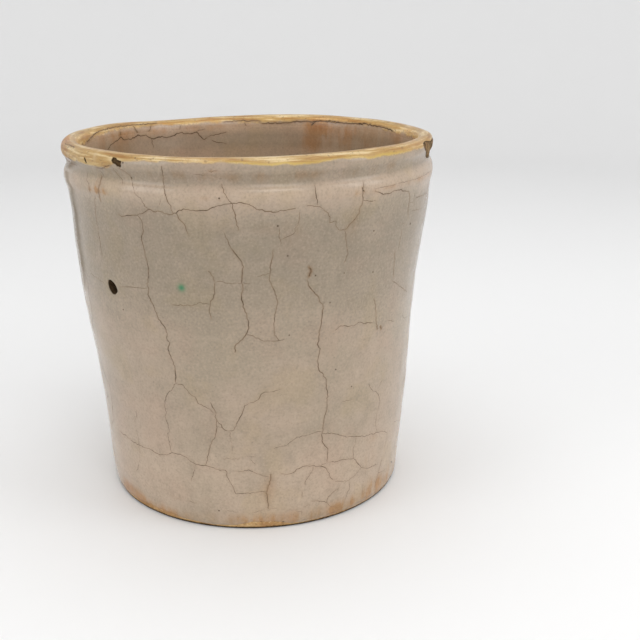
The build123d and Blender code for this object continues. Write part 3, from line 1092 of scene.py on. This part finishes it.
def grey_crackle(tree, where, noises, tone, cool, warm):
    """The grey glaze: two tones, mottled, streaked and grainy, browner inside the crock, and made
    lighter or darker by height as painted light and shade.
    """
    clouds, mottle, grain, fleck = noises
    patches = noise_value(tree, where, 24.0, 3.0, 0.5)
    streaks = noise_value(tree, stretched(tree, where, (0.25, 0.25, 2.2)), 60.0, 4.0)
    toned = math_of(tree, "ADD", clouds, math_of(tree, "MULTIPLY", tone, 0.16))
    darker, lighter = times(0.75, cool), times(1.16, warm)
    colour = blended(tree, between(tree, toned, 0.32, 0.70), cool, warm)
    colour = layered(tree, colour, [
        (mottle, 0.45, 0.75, 0.40, darker, "MIX"),
        (mottle, 0.45, 0.25, 0.50, lighter, "MIX"),
        (streaks, 0.48, 0.75, 0.22, lighter, "MIX"),
        (patches, 0.52, 0.66, 0.35, (1.0, 0.97, 0.80), "MULTIPLY"),
        (patches, 0.48, 0.34, 0.45, (1.0, 0.94, 0.93), "MULTIPLY"),
        (grain, 0.50, 0.70, 0.38, darker, "MIX"),
        (grain, 0.48, 0.30, 0.35, lighter, "MIX"),
        (fleck, 0.64, 0.74, 0.25, times(0.5, cool), "MIX"),
    ])
    # painted light and shade: tone makes the glaze lighter or darker by height
    shade = math_of(tree, "ADD", math_of(tree, "MULTIPLY", tone, 0.14), 1.0)
    colour = blended(tree, 1.0, colour, shade, "MULTIPLY")
    return blended(tree, attribute(tree, "inner"), colour, (0.98, 0.89, 0.80), "MULTIPLY")


def lip_yellow(tree, where, noises, tone, over):
    """The yellow of the lip: brushed round, clouded and pitted, with ochre along its lower edge, and
    painted lighter on its inner face.
    """
    clouds, mottle, grain, fleck = noises
    brushed = brushed_round(tree, where, 32.0, 420.0)
    gold = blended(tree, between(tree, brushed, 0.50, 0.63), (0.43, 0.267, 0.09), (0.64, 0.49, 0.265))
    gold = layered(tree, gold, [
        (brushed, 0.48, 0.37, 1.0, (0.32, 0.155, 0.038), "MIX"),
        (clouds, 0.48, 0.62, 0.60, (0.46, 0.25, 0.075), "MIX"),
        (grain, 0.52, 0.72, 0.40, (0.30, 0.18, 0.07), "MIX"),
        (fleck, 0.61, 0.70, 0.55, (0.17, 0.095, 0.04), "MIX"),
        (mottle, 0.40, 0.28, 0.40, (0.56, 0.43, 0.28), "MIX"),
        # painted light: the yellow is made lighter on the lip's inner face, where tone is high
        (tone, 0.5, 1.6, 1.0, (1.36, 1.36, 1.30), "MULTIPLY"),
    ])
    ochre = math_of(tree, "MULTIPLY", between(tree, over, 2.6, 0.8), attribute(tree, "ochre"))
    return blended(tree, ochre, gold, (0.50, 0.335, 0.07))


def glaze_material(name, cool, warm, shine):
    """Old crackled glaze: grey below and yellow on the lip, with rusty stains, stained cracks and
    specks, and painted light and shade by height and in one inside stain.
    """
    material, tree = new_material(name)
    where = node(tree, "ShaderNodeTexCoord").outputs["Object"]
    clouds = noise_value(tree, where, 15.0, 5.0, 0.6)
    mottle = noise_value(tree, stretched(tree, where, (1, 1, 0.7)), 70.0, 5.0, 0.65)
    grain = noise_value(tree, where, 520.0, 2.0)
    fleck = noise_value(tree, where, 300.0, 2.0)
    noises = (clouds, mottle, grain, fleck)
    tone = attribute(tree, "tone")
    wobble = between(tree, mottle, 0.3, 0.7, -0.8, 0.8)
    over = math_of(tree, "ADD", attribute(tree, "over_yellow"), wobble)
    grey = grey_crackle(tree, where, noises, tone, cool, warm)
    gold = lip_yellow(tree, where, noises, tone, over)
    colour = blended(tree, between(tree, over, -0.9, 0.9), grey, gold)
    runs = noise_value(tree, stretched(tree, where, (1, 1, 0.12)), 75.0, 3.0)
    # rust stains, and on the inner left wall a painted shade
    rust = attribute(tree, "rust")
    rust = math_of(tree, "MULTIPLY", rust, between(tree, mottle, 0.30, 0.62, 0.5, 1.0))
    rust = math_of(tree, "MULTIPLY", rust, between(tree, runs, 0.38, 0.6, 0.45, 1.15))
    colour = layered(tree, colour, [
        (rust, 0.0, 1.0, 1.0, (0.92, 0.67, 0.42), "MULTIPLY"),
        (rust, 1.0, 2.0, 0.7, (0.94, 0.72, 0.48), "MULTIPLY"),
        (attribute(tree, "crack_stain"), 0.0, 1.0, 0.85, (0.21, 0.12, 0.055), "MIX"),
        (attribute(tree, "copper"), 0.0, 1.0, 1.0, (0.045, 0.19, 0.085), "MIX"),
    ])
    colour = blended(tree, attribute(tree, "speck"), colour, (0.09, 0.054, 0.03))
    matt = between(tree, over, -0.7, 0.9, 0.0, 0.15)
    roughness = math_of(tree, "ADD", between(tree, mottle, 0.3, 0.7, shine, shine + 0.12), matt)
    waves = noise_value(tree, where, 230.0, 2.0)
    surface(tree, colour, roughness, bump=waves, strength=0.06, distance=0.0004)
    return material


def crack_material():
    material, tree = new_material("crack_dirt")
    where = node(tree, "ShaderNodeTexCoord").outputs["Object"]
    grain = noise_value(tree, where, 180.0, 3.0)
    colour = blended(tree, between(tree, grain, 0.35, 0.65), (0.07, 0.038, 0.017), (0.16, 0.095, 0.05))
    surface(tree, colour, 0.85)
    return material


def clay_material():
    material, tree = new_material("fired_clay")
    where = node(tree, "ShaderNodeTexCoord").outputs["Object"]
    clouds = noise_value(tree, where, 40.0, 4.0)
    grog = noise_value(tree, where, 420.0, 3.0)
    colour = blended(tree, between(tree, clouds, 0.35, 0.65), (0.40, 0.225, 0.095), (0.56, 0.37, 0.17))
    colour = layered(tree, colour, [
        (grog, 0.55, 0.72, 0.7, (0.16, 0.09, 0.045), "MIX"),
        (grog, 0.42, 0.30, 0.6, (0.66, 0.50, 0.30), "MIX"),
        # painted shade and dirt: dirty clay in the chips, painted shade in the deep pit and a painted
        # contact shadow at the foot
        (attribute(tree, "dirt_and_painted_shade"), 0.0, 1.0, 0.95, (0.028, 0.015, 0.005), "MIX"),
    ])
    surface(tree, colour, 0.88, bump=grog, strength=0.5, distance=0.0005, **{"Specular IOR Level": 0.2})
    return material


def plain_material(name, colour, roughness):
    material, tree = new_material(name)
    surface(tree, (*colour, 1), roughness)
    return material


# The crock.

def foot_loop(rng):
    """The uneven lower end of the outside glaze."""
    count, loop = 420, []
    for i in range(count):
        azimuth = -180 + 360 * i / count
        turn = math.radians(azimuth)
        rise = 0.25 * math.sin(13 * turn) + 0.2 * math.sin(31 * turn + 2) + rng.uniform(-0.25, 0.25)
        level = value_at(azimuth, FOOT_GLAZE)
        loop.append((azimuth, float(SKIN.outside(max(1.2, level + rise)))))
    return loop


def listed(lists, on_skin):
    """The paths of some lists, put on the skin, each with its width and stain."""
    return [(on_skin(path), width, stain) for paths, width, stain in lists for path in paths]


def points_of(found):
    return [p for path, *_ in found for p in path]


def cracks_between(found, low, high, outlines, rng):
    """Cracks along those parts of the paths that lie on a coat."""
    cracks = []
    for path, width, stain in found:
        path = keep_inside(path, low, high, outlines)
        if len(path) > 1:
            cracks.append(Crack(path, width, stain, rng))
    return cracks


def outside_cracks(rng, low, high, outlines):
    """The cracks of the front, and a network of others over the sides and the back."""
    found = listed(CRACK_LISTS, along_outside)
    foot_end, bead_end = float(SKIN.outside(10)), float(SKIN.outside(296))
    trunks, branches, unseen = 34, 22, (82, 292)
    found += network(rng, points_of(found), unseen, foot_end, bead_end, trunks, branches)
    return cracks_between(found, low, high, outlines, rng)


def inside_cracks(rng, low):
    """The cracks that show inside the lip, a network over the wall below, and those of the floor."""
    found = listed(INSIDE_LISTS, along_inside)
    top, bottom = float(SKIN.inside(266)), float(SKIN.inside(FLOOR_HEIGHT + 4))
    trunks, branches, all_round = 44, 24, (0, 360)
    found += network(rng, points_of(found), all_round, top, bottom, trunks, branches)
    found += [(along_floor(path), *FLOOR_LOOK) for path in FLOOR_CRACKS]
    return cracks_between(found, low, SKIN.end, [], rng)


def lip_cracks(rng, low, high):
    """The cracks on the lip's outside and those that come up from the inside."""
    cracks = [Crack(along_outside(path), *LIP_OUTER_LOOK, rng) for path in LIP_OUTER]
    return cracks + cracks_between(listed(LIP_INNER_LISTS, along_inside), low, high, [], rng)


def wall_step(along):
    """How far apart the points of the outside's face are: closer on the bead and above it."""
    return 3.3 if along < SKIN.outside(288) else 2.2


def liner_step(along):
    """How far apart the points of the inside's face are: closer near the lip."""
    return 3.4 if along < SKIN.inside(240) else 6.0


def coats():
    """The three coats of glaze, and the outlines where the clay shows."""
    rng = random.Random(7)
    edges = [chip_edges(chip, rng) for chip in LIP_CHIPS]
    low_edges, high_edges = zip(*edges)
    holes = [outline_of_hole(*hole, rng) for hole in HOLES]
    chips = [low + high[::-1][1:-1] for low, high in edges]
    outlines = holes + chips
    join_out, join_in = float(SKIN.outside(JOIN_OUTSIDE)), float(SKIN.inside(JOIN_INSIDE))
    foot = foot_loop(rng)
    wall = outside_cracks(rng, max(s for _, s in foot), join_out, outlines)
    liner = inside_cracks(rng, join_in)
    lip = lip_cracks(rng, join_out, join_in)
    wall_marks = [mark for mark in SPECK_MARKS + COPPER_MARKS if mark[1] < join_out]
    lip_marks = [mark for mark in SPECK_MARKS if mark[1] > join_out]
    top_of_wall, foot_of_lip = ring(join_out, low_edges), ring(join_out, high_edges)
    inner = ring(join_in)
    lip_step = 1.9
    return (Coat("outside_crackle_glaze", foot, [top_of_wall, *holes], [foot, *holes, *chips], wall,
                 wall_marks, join_out, wall_step, 11),
            Coat("lip_glaze", foot_of_lip, [inner], chips, lip, lip_marks, join_in, lip_step, 12),
            Coat("inside_crackle_glaze", inner, [], [], liner, [], SKIN.end, liner_step, 13),
            outlines)


outer_coat, lip_coat, inner_coat, outlines = coats()

GREY_GREEN, GREY_PINK = (0.335, 0.27, 0.194), (0.395, 0.304, 0.224)
crack_dirt = crack_material()
outside_glaze = glaze_material("outside_glaze", GREY_GREEN, GREY_PINK, 0.15)
inside_glaze = glaze_material("inside_glaze", GREY_GREEN, GREY_PINK, 0.3)

outer = outer_coat.made([outside_glaze, crack_dirt], paint_skin)
lip = lip_coat.made([outside_glaze, crack_dirt], paint_skin)
liner = inner_coat.made([inside_glaze, crack_dirt], paint_skin)
clay = clay_object(outlines, [clay_material()], 14)

for piece, cad_node, material_slot in (
        (outer, "outer_glaze", "outer_glaze"),
        (lip, "rim_glaze", "rim_glaze"),
        (liner, "inner_glaze", "inner_glaze"),
        (clay, "clay_body", "fired_clay")):
    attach(piece, "root")
    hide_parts(cad_node)


# The studio.

def studio_bowl():
    """A pale round floor that curves up into a pale wall all round the crock and the camera."""
    floor_radius, bend, top, sides = 2.0, 0.9, 2.6, 96
    profile = [(0.6, 0.0), (floor_radius, 0.0)]
    for i in range(1, 17):
        turn = math.pi / 2 * i / 16
        profile.append((floor_radius + bend * math.sin(turn), bend - bend * math.cos(turn)))
    profile.append((floor_radius + bend, top))
    verts = [(0.0, 0.0, 0.0)]
    for radius, height in profile:
        for i in range(sides):
            turn = 2 * math.pi * i / sides
            verts.append((radius * math.cos(turn), radius * math.sin(turn), height))
    faces = [(0, 1 + i, 1 + (i + 1) % sides) for i in range(sides)]
    for row in range(len(profile) - 1):
        low, high = 1 + row * sides, 1 + (row + 1) * sides
        for i in range(sides):
            j = (i + 1) % sides
            faces.append((low + i, high + i, high + j, low + j))
    mesh = bpy.data.meshes.new("floor_and_wall")
    mesh.from_pydata(verts, [], faces)
    mesh.shade_smooth()
    mesh.materials.append(plain_material("pale_studio", (0.86, 0.86, 0.86), 0.7))
    placed("floor_and_wall", mesh)


def softbox(name, place, aim, width, height, power):
    data = bpy.data.lights.new(name, "AREA")
    data.shape, data.size, data.size_y, data.energy = "RECTANGLE", width, height, power
    made = placed(name, data)
    made.location = place
    made.rotation_mode = "QUATERNION"
    made.rotation_quaternion = (Vector(aim) - Vector(place)).to_track_quat("-Z", "Y")


def dark_flag():
    """A narrow dark board that shows only as a line in the gloss near the crock's left side."""
    mesh = bpy.data.meshes.new("dark_flag")
    mesh.from_pydata([(-0.05, 0, 0), (0.05, 0, 0), (0.05, 0, 0.3), (-0.05, 0, 0.3)], [], [(0, 1, 2, 3)])
    mesh.materials.append(plain_material("dark_board", (0.02, 0.02, 0.02), 0.8))
    made = placed("dark_flag", mesh)
    made.location = (-0.49, 0.49, 0)
    made.rotation_euler = (0, 0, math.radians(20))
    made.visible_camera = False
    made.visible_diffuse = False
    made.visible_shadow = False


def camera():
    """The camera, in the photograph's place: in front, above the lip, turned slightly to the right."""
    data = bpy.data.cameras.new("camera")
    data.lens, data.sensor_width = 54.35, 36.0
    made = placed("camera", data)
    forward = Vector((0.06696723, 0.95043454, -0.30362735))
    right = Vector((0.99762367, -0.06872325, 0.0049111))
    up = right.cross(forward)
    turn = Matrix((right, up, -forward)).transposed()
    place = Vector((AXIS_X + 2.5 * MM, AXIS_Y - 853.08 * MM, CAD_LOW.z + 413.52 * MM))
    made.matrix_world = Matrix.Translation(place) @ turn.to_4x4()
    bpy.context.scene.camera = made


def world(strength):
    made = bpy.data.worlds.new("studio_light")
    made.use_nodes = True
    background = made.node_tree.nodes["Background"]
    background.inputs["Color"].default_value = (1.0, 1.0, 1.0, 1)
    background.inputs["Strength"].default_value = strength
    bpy.context.scene.world = made


studio_bowl()
dark_flag()
camera()
world(0.6)
softbox("top_softbox", (0.0, 0.1, 2.3), (0, 0, 0.1), 2.2, 2.2, 18.5)
softbox("front_softbox", (0.5, -1.9, 1.5), (0, 0, 0.2), 1.3, 1.2, 11)
softbox("left_softbox", (-1.8, -0.9, 1.0), (0, 0, 0.15), 1.0, 1.4, 8)
softbox("right_softbox", (1.8, -0.7, 1.1), (0, 0, 0.15), 1.0, 1.4, 9)
bpy.context.scene.view_settings.view_transform = "Standard"
